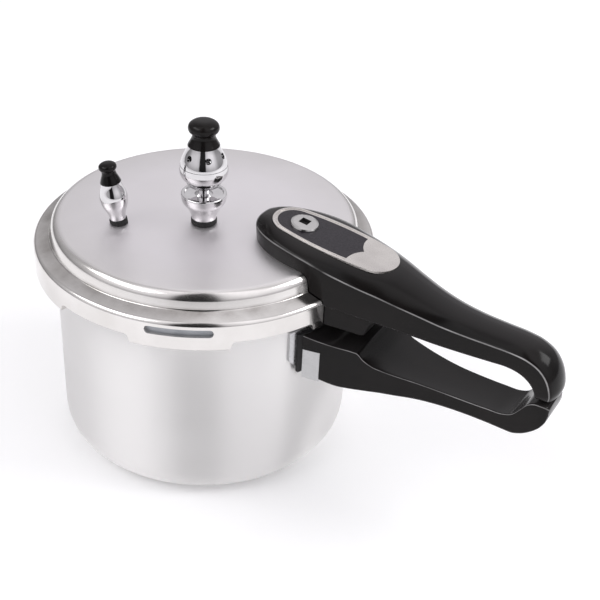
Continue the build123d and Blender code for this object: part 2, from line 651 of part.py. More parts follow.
with BuildPart() as weight_hood:
    with BuildSketch(vent_section):
        with BuildLine():
            side = Spline((14.0, SEAM), (13.2, 42.4), (11.0, 47.4), (9.3, 51.4),
                          tangents=((-0.1, 1), (-0.35, 1)))
            Polyline(side @ 1, (2.55, 51.4), (2.55, 49.2), (8.2, 49.2), (9.3, 46.6), (11.6, 41.8),
                     (12.2, SEAM),
                     side @ 0)
        make_face()
    revolve(axis=vent_axis)
    for index in range(WEIGHT_HOLES):
        turn = radians(index * 360 / WEIGHT_HOLES + WEIGHT_HOLE_START)
        aim = Vector(cos(turn), sin(turn), WEIGHT_HOLE_RISE)
        with BuildSketch(Plane(origin=Vector(VENT_X, VENT_Y, VENT_Z + WEIGHT_HOLE_Z) + aim * 5, z_dir=aim)):
            Circle(1.9)
        extrude(amount=12, mode=Mode.SUBTRACT)
weight_hood.part.label = "weight_hood"
export_step(weight_hood.part, "parts/weight_hood.step")

with BuildPart() as weight_stud:
    with BuildSketch(vent_section):
        with BuildLine():
            Polyline((0, 47.2), (5.0, 47.2), (5.0, 49.1), (2.5, 49.1), (2.5, 59.0), (0, 59.0), close=True)
        make_face()
    revolve(axis=vent_axis)
weight_stud.part.label = "weight_stud"
export_step(weight_stud.part, "parts/weight_stud.step")

with BuildPart() as weight_knob:
    with BuildSketch(vent_section):
        with BuildLine():
            flare = Spline((9.6, 51.5), (9.0, 52.8), (7.7, 55.2), (7.0, 57.8), tangents=((-0.2, 1), (0, 1)))
            brim = Spline(flare @ 1, (7.9, 59.6), (9.3, 62.4), tangents=((0, 1), (0, 1)))
            cap = Spline(brim @ 1, (7.4, 65.8), (0, 67.2), tangents=((0, 1), (-1, 0)))
            Polyline(cap @ 1, (0, 59.2), (2.55, 59.2), (2.55, 51.5), flare @ 0)
        make_face()
    revolve(axis=vent_axis)
weight_knob.part.label = "weight_knob"
export_step(weight_knob.part, "parts/weight_knob.step")

# ---------------------------------------------------------------- safety valve
safety_section = section_plane(SAFETY_X, SAFETY_Y, SAFETY_Z, SAFETY_LEAN)
safety_axis = spin_axis(safety_section)
NECK_R = 3.9
STEM_R = 1.3

with BuildPart() as safety_grommet:
    with BuildSketch(safety_section):
        with BuildLine():
            Polyline((NECK_R - 0.5, -5.0), (5.4, -5.0), (5.4, 2.6), (4.9, 3.2), (NECK_R - 0.5, 3.2),
                     close=True)
        make_face()
    revolve(axis=safety_axis)
    with BuildSketch(Plane.XY.offset(SAFETY_Z - LID_GAUGE - 0.3)):
        with Locations((SAFETY_X, SAFETY_Y)):
            Circle(20)
            Circle(NECK_R + 0.4, mode=Mode.SUBTRACT)
    extrude(amount=LID_GAUGE + 0.4, mode=Mode.SUBTRACT)
safety_grommet.part.label = "safety_grommet"
export_step(safety_grommet.part, "parts/safety_grommet.step")

with BuildPart() as safety_cup:
    with BuildSketch(safety_section):
        with BuildLine():
            side = Spline((4.8, 3.3), (5.2, 6.2), (7.2, 11.2), (8.3, 17.2), tangents=((0, 1), (0.05, 1)))
            Polyline(side @ 1, (7.1, 17.2), (6.4, 12.0), (4.6, 8.2), (2.6, 8.2), (1.2, 6.6), (1.2, -10.0),
                     (NECK_R - 0.55, -10.0), (NECK_R - 0.55, 3.3), side @ 0)
        make_face()
    revolve(axis=safety_axis)
safety_cup.part.label = "safety_cup"
export_step(safety_cup.part, "parts/safety_cup.step")

with BuildPart() as safety_nut:
    with BuildSketch(across_axis(safety_section, -9.2)):
        RegularPolygon(6.6, 6)
        Circle(NECK_R - 0.5, mode=Mode.SUBTRACT)
    extrude(amount=4)
safety_nut.part.label = "safety_nut"
export_step(safety_nut.part, "parts/safety_nut.step")

with BuildPart() as safety_hood:
    with BuildSketch(safety_section):
        with BuildLine():
            side = Spline((8.4, 17.3), (8.2, 19.4), (6.8, 24.0), (5.9, 27.4), tangents=((0, 1), (-0.2, 1)))
            Polyline(side @ 1, (STEM_R + 0.08, 27.4), (STEM_R + 0.08, 26.2), (5.0, 26.2), (5.9, 23.0),
                     (7.2, 18.4),
                     (7.2, 17.3), side @ 0)
        make_face()
    revolve(axis=safety_axis)
safety_hood.part.label = "safety_hood"
export_step(safety_hood.part, "parts/safety_hood.step")

with BuildPart() as safety_plunger:
    with BuildSketch(safety_section):
        with BuildLine():
            Polyline((0, 7.4), (1.4, 8.5), (3.4, 8.5), (3.4, 10.4), (STEM_R, 10.4), (STEM_R, 33.6),
                     (0, 33.6), close=True)
        make_face()
    revolve(axis=safety_axis)
safety_plunger.part.label = "safety_plunger"
export_step(safety_plunger.part, "parts/safety_plunger.step")

with BuildPart() as safety_spring:
    with BuildLine():
        coil = Helix(pitch=2.2, height=14.4, radius=2.6,
                     center=safety_section.origin + safety_section.y_dir * 11.0,
                     direction=safety_section.y_dir)
    with BuildSketch(Plane(origin=coil @ 0, z_dir=coil % 0)):
        Circle(0.35)
    sweep(is_frenet=True)
safety_spring.part.label = "safety_spring"
export_step(safety_spring.part, "parts/safety_spring.step")

with BuildPart() as safety_knob:
    with BuildSketch(safety_section):
        with BuildLine():
            flare = Spline((6.3, 27.8), (5.9, 29.1), (4.8, 31.9), (4.2, 34.6), tangents=((-0.2, 1), (0, 1)))
            brim = Spline(flare @ 1, (4.6, 35.8), (5.4, 37.6), tangents=((0, 1), (0, 1)))
            cap = Spline(brim @ 1, (4.1, 39.7), (0, 40.5), tangents=((0, 1), (-1, 0)))
            Polyline(cap @ 1, (0, 33.7), (STEM_R + 0.03, 33.7), (STEM_R + 0.03, 27.8), flare @ 0)
        make_face()
    revolve(axis=safety_axis)
safety_knob.part.label = "safety_knob"
export_step(safety_knob.part, "parts/safety_knob.step")
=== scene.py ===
import json
from math import cos, hypot, pi, radians, sin, sqrt

import bmesh
import bpy
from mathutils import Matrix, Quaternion, Vector


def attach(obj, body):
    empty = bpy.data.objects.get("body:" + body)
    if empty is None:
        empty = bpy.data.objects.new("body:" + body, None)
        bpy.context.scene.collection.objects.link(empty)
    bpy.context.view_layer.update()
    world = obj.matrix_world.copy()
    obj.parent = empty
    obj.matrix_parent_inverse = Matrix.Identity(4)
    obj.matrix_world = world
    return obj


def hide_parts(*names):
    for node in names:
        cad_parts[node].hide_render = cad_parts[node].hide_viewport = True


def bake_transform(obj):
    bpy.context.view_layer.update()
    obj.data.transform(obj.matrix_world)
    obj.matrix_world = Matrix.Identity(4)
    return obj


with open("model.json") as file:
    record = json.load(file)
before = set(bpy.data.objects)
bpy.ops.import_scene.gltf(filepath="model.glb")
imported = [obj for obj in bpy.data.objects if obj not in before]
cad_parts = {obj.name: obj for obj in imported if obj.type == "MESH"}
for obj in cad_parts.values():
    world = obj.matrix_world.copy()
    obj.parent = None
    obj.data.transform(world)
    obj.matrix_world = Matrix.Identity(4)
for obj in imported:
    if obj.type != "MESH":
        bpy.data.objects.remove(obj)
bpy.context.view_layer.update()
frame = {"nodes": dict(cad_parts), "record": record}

# Stovetop pressure cooker: spun aluminium pot, bayonet lid, two moulded handles and two valves.
# Lengths in the tables are millimetres and become metres through MM.
nodes = frame["nodes"]
MM = 0.001

# ---------------------------------------------------------------- camera, floor and light
CAMERA_AT = Vector((0.3712, -0.5363, 0.5124))
CAMERA_TARGET = Vector((0.0220, 0.0852, 0.0494))
CAMERA_ROLL = radians(2.84)
CAMERA_LENS, CAMERA_SENSOR = 72, 36
FLOOR_HALF = 6.0
# Name, place, target, size in metres and power in watts of each lamp.
LAMPS = (
    ("key", (-0.80, -1.05, 1.5), (0.05, 0.0, 0.1), (1.5, 0.65), 9),
    ("fill", (1.5, 0.7, 1.5), (0.1, 0.0, 0.1), (0.9, 0.9), 14),
)


def link(thing):
    """Puts an object in the scene."""
    bpy.context.scene.collection.objects.link(thing)
    return thing


def make_camera():
    """Camera of the photo, with its small roll."""
    data = bpy.data.cameras.new("camera")
    data.lens = CAMERA_LENS
    data.sensor_width = CAMERA_SENSOR
    data.clip_start, data.clip_end = 0.02, 40
    camera = link(bpy.data.objects.new("camera", data))
    camera.location = CAMERA_AT
    camera.rotation_mode = "QUATERNION"
    look = (CAMERA_TARGET - CAMERA_AT).to_track_quat("-Z", "Y")
    camera.rotation_quaternion = look @ Quaternion((0, 0, 1), CAMERA_ROLL)
    bpy.context.scene.camera = camera


def softbox(name, place, target, size, power):
    """Rectangular area light aimed at a point."""
    data = bpy.data.lights.new(name, "AREA")
    data.shape = "RECTANGLE"
    data.size, data.size_y = size
    data.energy = power
    lamp = link(bpy.data.objects.new(name, data))
    lamp.location = place
    lamp.rotation_mode = "QUATERNION"
    lamp.rotation_quaternion = (Vector(target) - Vector(place)).to_track_quat("-Z", "Y")


# Brightness of the studio by the sine of the angle above the horizon, and its share by bearing.
# Bearings run from 0 to 1 round the room, from the -X side through -Y, +X and +Y. The dark share is a
# stand round the camera, which the chrome shows as a dark stripe.
SKY = ((0.0, 0.42), (0.10, 0.48), (0.30, 0.74), (0.55, 0.86), (0.80, 0.95), (1.0, 1.0))
SKY_TINT = (0.985, 0.97, 1.0)
BEARINGS = (
    (0.0, 0.55), (0.09, 0.80), (0.13, 1.25), (0.23, 1.20), (0.275, 0.95), (0.287, 0.03), (0.368, 0.03),
    (0.38, 0.95), (0.43, 1.35), (0.50, 1.40), (0.57, 0.70), (0.66, 0.95), (0.84, 1.0), (1.0, 0.55),
)
BACKDROP = (0.98, 0.98, 0.985, 1)   # what the camera sees behind the floor


def ramp(tree, factor, stops, tint=(1, 1, 1)):
    """Colour ramp with grey stops of (position, brightness)."""
    node = tree.nodes.new("ShaderNodeValToRGB")
    tree.links.new(factor, node.inputs[0])
    elements = node.color_ramp.elements
    while len(elements) < len(stops):
        elements.new(0.5)
    for element, (position, grey) in zip(elements, stops):
        element.position = position
        element.color = (grey * tint[0], grey * tint[1], grey * tint[2], 1)
    return node.outputs["Color"]


def make_world():
    """Pale studio, darker near the horizon and round the camera, so that metal has something to reflect."""
    world = bpy.data.worlds.new("studio")
    world.use_nodes = True
    tree = world.node_tree
    where = tree.nodes.new("ShaderNodeTexCoord")
    split = tree.nodes.new("ShaderNodeSeparateXYZ")
    tree.links.new(where.outputs["Generated"], split.inputs[0])
    turn = tree.nodes.new("ShaderNodeMath")
    turn.operation = "ARCTAN2"
    tree.links.new(split.outputs["Y"], turn.inputs[0])
    tree.links.new(split.outputs["X"], turn.inputs[1])
    bearing = tree.nodes.new("ShaderNodeMapRange")
    tree.links.new(turn.outputs[0], bearing.inputs["Value"])
    bearing.inputs["From Min"].default_value = -pi
    bearing.inputs["From Max"].default_value = pi
    mixed = tree.nodes.new("ShaderNodeMix")
    mixed.data_type = "RGBA"
    mixed.blend_type = "MULTIPLY"
    mixed.inputs["Factor"].default_value = 1.0
    tree.links.new(ramp(tree, split.outputs["Z"], SKY, SKY_TINT), mixed.inputs["A"])
    tree.links.new(ramp(tree, bearing.outputs[0], BEARINGS), mixed.inputs["B"])
    seen = tree.nodes.new("ShaderNodeMix")
    seen.data_type = "RGBA"
    rays = tree.nodes.new("ShaderNodeLightPath")
    tree.links.new(rays.outputs["Is Camera Ray"], seen.inputs["Factor"])
    tree.links.new(mixed.outputs["Result"], seen.inputs["A"])
    seen.inputs["B"].default_value = BACKDROP
    tree.links.new(seen.outputs["Result"], tree.nodes["Background"].inputs["Color"])
    bpy.context.scene.world = world


# ---------------------------------------------------------------- materials
FINE_RELIEF, RUBBER_RELIEF = 0.0001, 0.0002     # depths of bumps, in metres
GLINT_ATTRIBUTE = "glint"                                   # mesh attribute: how much painted edge highlight each point takes


class Look:
    """A Principled material and short ways to add nodes to it."""

    def __init__(self, name, **sockets):
        self.made = bpy.data.materials.new(name)
        self.made.use_nodes = True
        self.tree = self.made.node_tree
        self.shader = self.tree.nodes["Principled BSDF"]
        for socket, value in sockets.items():
            self.shader.inputs[socket.replace("_", " ")].default_value = value
        where = self.add("ShaderNodeTexCoord")
        self.place = where.outputs["Object"]

    def add(self, kind, **values):
        """Adds a node with its settings."""
        node = self.tree.nodes.new(kind)
        for key, value in values.items():
            setattr(node, key, value)
        return node

    def wire(self, start, end):
        """Links an output socket to an input socket."""
        self.tree.links.new(start, end)

    def maths(self, operation, first, second=None):
        """Result of a sum on one or two values. Each is a number or a socket."""
        node = self.add("ShaderNodeMath", operation=operation)
        for value, socket in zip((first, second), node.inputs):
            if isinstance(value, (int, float)):
                socket.default_value = value
            elif value is not None:
                self.wire(value, socket)
        return node.outputs[0]

    def axes(self, vector):
        """The X, Y and Z of a vector."""
        node = self.add("ShaderNodeSeparateXYZ")
        self.wire(vector, node.inputs[0])
        return node.outputs["X"], node.outputs["Y"], node.outputs["Z"]

    def noise(self, vector, scale, detail):
        """Soft noise, between 0 and 1, at a place."""
        node = self.add("ShaderNodeTexNoise")
        self.wire(vector, node.inputs["Vector"])
        node.inputs["Scale"].default_value = scale
        node.inputs["Detail"].default_value = detail
        return node.outputs["Fac"]

    def spun(self, scale):
        """Grain that runs in rings round the Z axis: noise of the radius and the height."""
        x, y, z = self.axes(self.place)
        squares = self.maths("ADD", self.maths("MULTIPLY", x, x), self.maths("MULTIPLY", y, y))
        join = self.add("ShaderNodeCombineXYZ")
        self.wire(self.maths("SQRT", squares), join.inputs["X"])
        self.wire(z, join.inputs["Z"])
        return self.noise(join.outputs[0], scale, 1)

    def cloud(self, scale, detail=4, stretch=(1, 1, 1)):
        """Soft noise in the piece's own space, squeezed along the axes by a factor for each."""
        mapping = self.add("ShaderNodeMapping")
        mapping.inputs["Scale"].default_value = stretch
        self.wire(self.place, mapping.inputs["Vector"])
        return self.noise(mapping.outputs[0], scale, detail)

    def mapped(self, value, low, high, to_low, to_high, ease="LINEAR"):
        """Maps a value from one range onto another, and holds it at the ends."""
        node = self.add("ShaderNodeMapRange", interpolation_type=ease)
        self.wire(value, node.inputs["Value"])
        for socket, limit in zip(("From Min", "From Max", "To Min", "To Max"), (low, high, to_low, to_high)):
            node.inputs[socket].default_value = limit
        return node.outputs["Result"]

    def spread(self, noise, low, high):
        """Maps the usual range of a noise onto another range."""
        return self.mapped(noise, 0.3, 0.7, low, high)

    def step_up(self, height, blur):
        """0 below a height, in metres, and 1 a little above it."""
        return self.mapped(self.axes(self.place)[2], height, height + blur, 0, 1)

    def mixed(self, factor, first, second):
        """Colour that runs from the first to the second with a factor. Each is a colour or a socket."""
        node = self.add("ShaderNodeMix", data_type="RGBA")
        self.wire(factor, node.inputs["Factor"])
        for colour, socket in ((first, node.inputs["A"]), (second, node.inputs["B"])):
            if isinstance(colour, tuple):
                socket.default_value = (*colour, 1)
            else:
                self.wire(colour, socket)
        return node.outputs["Result"]

    def blend(self, noise, first, second):
        """Colour that runs from the first to the second with a noise."""
        return self.mixed(self.spread(noise, 0, 1), first, second)

    def tint(self, colour):
        """Sets the base colour from a socket."""
        self.wire(colour, self.shader.inputs["Base Color"])

    def rough(self, amount):
        """Sets the roughness from a socket."""
        self.wire(amount, self.shader.inputs["Roughness"])

    def bump(self, amount, strength, depth=FINE_RELIEF):
        """Roughens the surface by a noise."""
        node = self.add("ShaderNodeBump")
        node.inputs["Strength"].default_value = strength
        node.inputs["Distance"].default_value = depth
        self.wire(amount, node.inputs["Height"])
        self.wire(node.outputs[0], self.shader.inputs["Normal"])


def pot_aluminium():
    """Brushed aluminium: reflections streak upright, with gloss that varies in rings and soft patches."""
    look = Look("pot_aluminium", Metallic=1.0, Anisotropic=0.95, Anisotropic_Rotation=0.25)
    patch = look.cloud(14, 1)
    look.tint(look.blend(patch, (0.85, 0.838, 0.832), (0.82, 0.808, 0.803)))
    rings = look.maths("MULTIPLY", look.spun(60), 0.3)
    both = look.maths("ADD", rings, look.maths("MULTIPLY", patch, 0.7))
    look.rough(look.spread(both, 0.40, 0.46))
    return look.made


TOP_EDGE, DOME_FOOT, FLANGE_FOOT = 0.1512, 0.1425, 0.1390      # heights on the lid, in metres


def lid_aluminium():
    """Satin top and a darker, brownish polished edge, with a painted dark reflection in patches where the
    dome meets the flange.
    """
    look = Look("lid_aluminium", Metallic=1.0)
    patch = look.cloud(14)
    top = look.step_up(TOP_EDGE, 0.0015)
    edge_tone = look.blend(look.cloud(40), (0.78, 0.76, 0.745), (0.68, 0.66, 0.64))
    # Painted reflection: a dark patchy band, colour (0.24, 0.22, 0.20), between the flange foot and the dome
    # foot, stands in for the dome's side mirrored in the flange.
    smear = look.spread(look.cloud(55), 0.10, 0.70)
    reflection_patches = look.maths("MULTIPLY", look.step_up(FLANGE_FOOT, 0.0022), smear)
    painted_reflection = look.maths("MULTIPLY", reflection_patches, look.maths("SUBTRACT", 1.0, look.step_up(DOME_FOOT, 0.0015)))
    edge = look.mixed(painted_reflection, edge_tone, (0.24, 0.22, 0.20))
    satin = look.blend(patch, (0.86, 0.835, 0.855), (0.81, 0.785, 0.80))
    look.tint(look.mixed(top, edge, satin))
    look.rough(look.maths("ADD", look.spread(patch, 0.11, 0.18), look.maths("MULTIPLY", top, 0.34)))
    return look.made


def steel(name, colour, smooth, dull):
    """Bright steel with a short brushed grain."""
    look = Look(name, Metallic=1.0)
    grain = look.cloud(260, 3, (1, 1, 30))
    look.tint(look.blend(look.cloud(60), colour, tuple(c * 0.88 for c in colour)))
    look.rough(look.spread(grain, smooth, dull))
    look.bump(grain, 0.05)
    return look.made


def chrome():
    """Polished chrome plate with faint smears."""
    look = Look("chrome", Metallic=1.0)
    smear = look.cloud(90)
    look.tint(look.blend(smear, (0.72, 0.71, 0.72), (0.60, 0.59, 0.60)))
    look.rough(look.spread(smear, 0.035, 0.09))
    look.bump(look.cloud(220, 2), 0.02)
    return look.made


def phenolic(name, smooth, dull, relief, painted_sheen=0.0):
    """Moulded black phenolic with faint flow marks. The sheen amount adds a painted sheen that makes upward
    faces greyer, and painted highlights that make the edges pale.
    """
    look = Look(name, Specular_IOR_Level=0.16)
    smear = look.cloud(26, 5, (1, 2.2, 2.2))
    colour = look.blend(smear, (0.0050, 0.0046, 0.0046), (0.0095, 0.0080, 0.0076))
    if painted_sheen:
        # Painted sheen: faces that look upward turn towards grey (0.045, 0.042, 0.043), for the soft
        # reflection on the handle's crown.
        upward = look.axes(look.add("ShaderNodeNewGeometry").outputs["Normal"])[2]
        level = look.mapped(upward, 0.80, 1, 0, painted_sheen, "SMOOTHSTEP")
        colour = look.mixed(level, colour, (0.045, 0.042, 0.043))
        # Painted highlight: patchy pale grey (0.60, 0.59, 0.59) along the edges marked in the mesh, standing
        # in for the lamps' glints on the rounded edges.
        glint_mask = look.add("ShaderNodeAttribute", attribute_name=GLINT_ATTRIBUTE).outputs["Fac"]
        glint_patches = look.maths("MULTIPLY", glint_mask, look.spread(look.cloud(45), 0.10, 0.9))
        colour = look.mixed(glint_patches, colour, (0.60, 0.59, 0.59))
    look.tint(colour)
    look.rough(look.spread(smear, smooth, dull))
    look.bump(look.cloud(700, 2), relief)
    return look.made


def rubber():
    """Matt black rubber with a fine grain."""
    look = Look("rubber", Specular_IOR_Level=0.35)
    speck = look.cloud(500, 3)
    look.tint(look.blend(speck, (0.010, 0.010, 0.011), (0.022, 0.021, 0.021)))
    look.rough(look.spread(speck, 0.55, 0.75))
    look.bump(speck, 0.25, RUBBER_RELIEF)
    return look.made


def silicone():
    """Grey silicone of the gasket."""
    look = Look("silicone", Specular_IOR_Level=0.5)
    look.tint(look.blend(look.cloud(120), (0.36, 0.38, 0.41), (0.46, 0.48, 0.51)))
    look.rough(look.spread(look.cloud(300), 0.30, 0.42))
    look.bump(look.cloud(500), 0.05)
    return look.made


def badge_silver():
    """Badge metal, brushed across its length."""
    look = Look("badge_silver", Metallic=1.0)
    grain = look.cloud(420, 3, (1, 14, 14))
    look.tint(look.blend(look.cloud(50), (0.74, 0.71, 0.68), (0.60, 0.57, 0.55)))
    look.rough(look.spread(grain, 0.22, 0.36))
    look.bump(grain, 0.06)
    return look.made


def badge_black():
    """Dark printed inlay with a fine fleck."""
    look = Look("badge_black", Specular_IOR_Level=0.25)
    fleck = look.cloud(900, 2)
    look.tint(look.blend(fleck, (0.016, 0.014, 0.018), (0.030, 0.026, 0.032)))
    look.rough(look.spread(look.cloud(40), 0.14, 0.24))
    look.bump(fleck, 0.04)
    return look.made


def floor_look():
    """Matt white floor that glows a little, so that it stays white round the object."""
    look = Look(
        "floor", Roughness=0.9, Specular_IOR_Level=0.0, Emission_Color=(1, 1, 1, 1), Emission_Strength=0.12
    )
    look.tint(look.blend(look.cloud(3), (0.955, 0.955, 0.96), (0.945, 0.945, 0.95)))
    return look.made


POT_METAL = pot_aluminium()
LID_METAL = lid_aluminium()
STEEL = steel("bracket_steel", (0.62, 0.62, 0.63), 0.18, 0.34)
BRIGHT_STEEL = steel("ferrule_steel", (0.50, 0.50, 0.505), 0.20, 0.32)
SCREW_STEEL = steel("screw_steel", (0.60, 0.59, 0.585), 0.10, 0.20)
CHROME = chrome()
PHENOLIC = phenolic("phenolic", 0.10, 0.17, 0.02)
GRIP_PHENOLIC = phenolic("grip_phenolic", 0.12, 0.20, 0.02, painted_sheen=0.35)
DULL_PHENOLIC = phenolic("dull_phenolic", 0.34, 0.46, 0.10)
RUBBER = rubber()
SILICONE = silicone()
BADGE_SILVER = badge_silver()
BADGE_BLACK = badge_black()

SLOT_LOOK = {
    "pot_aluminium": POT_METAL,
    "lid_aluminium": LID_METAL,
    "bracket_steel": STEEL,
    "ferrule_steel": BRIGHT_STEEL,
    "screw_steel": SCREW_STEEL,
    "valve_chrome": CHROME,
    "badge_silver": BADGE_SILVER,
    "badge_black": BADGE_BLACK,
    "black_phenolic": PHENOLIC,
    "black_rubber": RUBBER,
    "grey_silicone": SILICONE,
}


def paint_cad_nodes():
    """Every CAD node that stays takes the material of its slot."""
    for part in frame["record"]["subparts"]:
        mesh = nodes[part["node"]].data
        mesh.materials.clear()
        mesh.materials.append(SLOT_LOOK[part["material_slot"]])


def paint_socket_shade():
    """Painted shade: the floor and walls of the handle screw's square socket take a second, dark material,
    for the shadow deep in the socket.
    """
    screw = nodes["lid_handle_screw"].data
    screw.materials.append(RUBBER)
    middle = badge_point(SCREW_ALONG, 0)
    up = (badge_point(0, 0, 1) - badge_point(0, 0)).normalized()
    for face in screw.polygons:
        away = face.center - middle
        rise = away.dot(up)
        if (away - rise * up).length < SOCKET_REACH * MM and 0 < rise < SCREW_TOP * MM:
            face.material_index = 1


# ---------------------------------------------------------------- mesh helpers
SHARP = radians(38)         # edges that turn more than this stay sharp
TURN_STEPS = 256
ON_AXIS = 1e-6
WELD = 1e-6                 # points closer than this, in metres, are joined after a boolean


def piece(name, bm, body, look, stands_for):
    """Finishes a mesh as a piece that replaces CAD nodes: smooth shading with sharp edges kept, material,
    slot and the body it rides, if it is given one."""
    bmesh.ops.recalc_face_normals(bm, faces=bm.faces)
    for face in bm.faces:
        face.smooth = True
    for edge in bm.edges:
        edge.smooth = len(edge.link_faces) == 2 and edge.calc_face_angle(0) < SHARP
    mesh = bpy.data.meshes.new(name)
    bm.to_mesh(mesh)
    bm.free()
    mesh.materials.append(look)
    made = link(bpy.data.objects.new(name, mesh))
    if body:
        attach(made, body)
    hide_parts(*stands_for)
    return made


def skinned(rings, glint=None):
    """Solid over closed rings of points, in metres, with flat ends. An optional list gives each point of a
    ring its share of the painted edge highlight."""
    bm = bmesh.new()
    layer = bm.verts.layers.float.new(GLINT_ATTRIBUTE) if glint else None
    rows = [[bm.verts.new(p) for p in ring] for ring in rings]
    if glint:
        for row in rows:
            for vert, amount in zip(row, glint):
                vert[layer] = amount
    count = len(rows[0])
    for first, second in zip(rows, rows[1:]):
        for i in range(count):
            j = (i + 1) % count
            bm.faces.new((first[i], first[j], second[j], second[i]))
    bm.faces.new(rows[0])
    bm.faces.new(list(reversed(rows[-1])))
    return bm


def turned_solid(outline):
    """Solid of revolution about the Z axis, from a closed outline of (radius, height) in mm."""
    bm = bmesh.new()
    turns = [2 * pi * k / TURN_STEPS for k in range(TURN_STEPS)]
    rows = []
    for radius, height in outline:
        if radius < ON_AXIS:
            rows.append([bm.verts.new((0, 0, height * MM))])
        else:
            ring = [(radius * MM * cos(t), radius * MM * sin(t), height * MM) for t in turns]
            rows.append([bm.verts.new(point) for point in ring])
    for first, second in zip(rows, rows[1:] + rows[:1]):
        if len(first) == 1 and len(second) == 1:
            continue
        for i in range(TURN_STEPS):
            j = (i + 1) % TURN_STEPS
            places = ((first, i), (first, j), (second, j), (second, i))
            corners = [row[k % len(row)] for row, k in places]
            bm.faces.new(list(dict.fromkeys(corners)))
    return bm


def upright(x, y, z):
    """Place in metres from millimetres."""
    return Vector((x, y, z)) * MM


def disc(x, y, radius, steps=48):
    """Points round a circle."""
    turns = [2 * pi * k / steps for k in range(steps)]
    return [(x + radius * cos(t), y + radius * sin(t)) for t in turns]


def prism(points, low, high, place):
    """Closed prism over a flat outline, between two levels of a placing function."""
    return skinned([[place(a, b, level) for a, b in points] for level in (low, high)])


def rounded(points, steps=8):
    """Outline with rounded corners: each point is (x, y) or (x, y, radius)."""
    out = []
    count = len(points)
    for i, point in enumerate(points):
        radius = point[2] if len(point) > 2 else 0
        corner = Vector(point[:2])
        if not radius:
            out.append(tuple(corner))
            continue
        before = (Vector(points[i - 1][:2]) - corner).normalized()
        after = (Vector(points[(i + 1) % count][:2]) - corner).normalized()
        half = before.angle(after) / 2
        reach = radius / (sin(half) / cos(half))
        centre = corner + (before + after).normalized() * radius / sin(half)
        start = corner + before * reach - centre
        end = corner + after * reach - centre
        for k in range(steps + 1):
            out.append(tuple(centre + start.slerp(end, k / steps).normalized() * radius))
    return out


def dense(rows, steps):
    """Smooth rows of numbers through the given ones, spaced by the distance between their first four
    columns."""
    gaps = [hypot(*[q - p for p, q in zip(a[:4], b[:4])]) for a, b in zip(rows, rows[1:])]
    slopes = [[(q - p) / gap for p, q in zip(a, b)] for a, b, gap in zip(rows, rows[1:], gaps)]
    lean = [slopes[0]]
    for i in range(1, len(rows) - 1):
        before, after = gaps[i - 1], gaps[i]
        lean.append([(p * after + q * before) / (before + after) for p, q in zip(slopes[i - 1], slopes[i])])
    lean.append(slopes[-1])
    out = []
    for i, gap in enumerate(gaps):
        for k in range(steps):
            t = k / steps
            ends = (1 - 3 * t**2 + 2 * t**3, 3 * t**2 - 2 * t**3)
            leans = (gap * (t - 2 * t**2 + t**3), gap * (t**3 - t**2))
            columns = zip(rows[i], rows[i + 1], lean[i], lean[i + 1])
            out.append([sum(w * v for w, v in zip(ends + leans, column)) for column in columns])
    out.append(list(rows[-1]))
    return out


def joined(bm, *cutters, operation="DIFFERENCE"):
    """Solid of bm with other closed solids taken away, or added; all are freed."""
    mesh = bpy.data.meshes.new("solid")
    bm.to_mesh(mesh)
    bm.free()
    target = link(bpy.data.objects.new("solid", mesh))
    tools = []
    for index, cutter in enumerate(cutters):
        bmesh.ops.recalc_face_normals(cutter, faces=cutter.faces)
        tool_mesh = bpy.data.meshes.new("cutter")
        cutter.to_mesh(tool_mesh)
        cutter.free()
        tool = link(bpy.data.objects.new("cutter", tool_mesh))
        modifier = target.modifiers.new(f"tool_{index}", "BOOLEAN")
        modifier.operation = operation
        modifier.solver = "EXACT"
        modifier.object = tool
        tools.append(tool)
    bpy.context.view_layer.update()
    depsgraph = bpy.context.evaluated_depsgraph_get()
    done = bpy.data.meshes.new_from_object(target.evaluated_get(depsgraph))
    out = bmesh.new()
    out.from_mesh(done)
    bmesh.ops.remove_doubles(out, verts=out.verts, dist=WELD)
    for thing in [target, *tools]:
        data = thing.data
        bpy.data.objects.remove(thing)
        bpy.data.meshes.remove(data)
    bpy.data.meshes.remove(done)
    return out


# ---------------------------------------------------------------- pot and lid
LUG_COUNT, LUG_PITCH, LUG_OFFSET = 6, 60.0, -3.6
LID_LUG_SPAN, POT_LUG_SPAN = 32.0, 26.0
LID_R, SKIRT_Z, LUG_Z = 105.5, 127.0, 121.2
NOTCH_R, LUG_CORNER_R = 3.3, 2.2
WINDOW_ANGLE, WINDOW_SPAN = LUG_OFFSET - LUG_PITCH, 21.5
WINDOW_LOW, WINDOW_HIGH, WINDOW_END_R = 130.6, 135.6, 2.45
WINDOW_LEAST = 0.04         # height left at the very ends of the window
FLANGE_LOW, FLANGE_HIGH = 124.8, 128.2
POT_LUG_ROOT_R, POT_LUG_R, POT_LUG_CORNER_R = 93, 102.2, 3.0
LUG_CORNER_STEPS, LUG_ARC_STEPS = 6, 10
VENT_X, VENT_Y, VENT_HOLE_R = 7.5, -12.5, 5.1
SAFETY_X, SAFETY_Y, SAFETY_HOLE_R = -34.3, -41.9, 4.4

COLUMN = 0.4                # degrees between the columns of a curved cutter
NOTCH_CUT, WINDOW_CUT = (90, 112), (100, 112)       # inner and outer radius of the cutters
HOLE_CUT = (140, 160)       # low and high level of the valve hole cutters
BELOW_LUGS = 8              # how far the notch cutters reach below the lugs

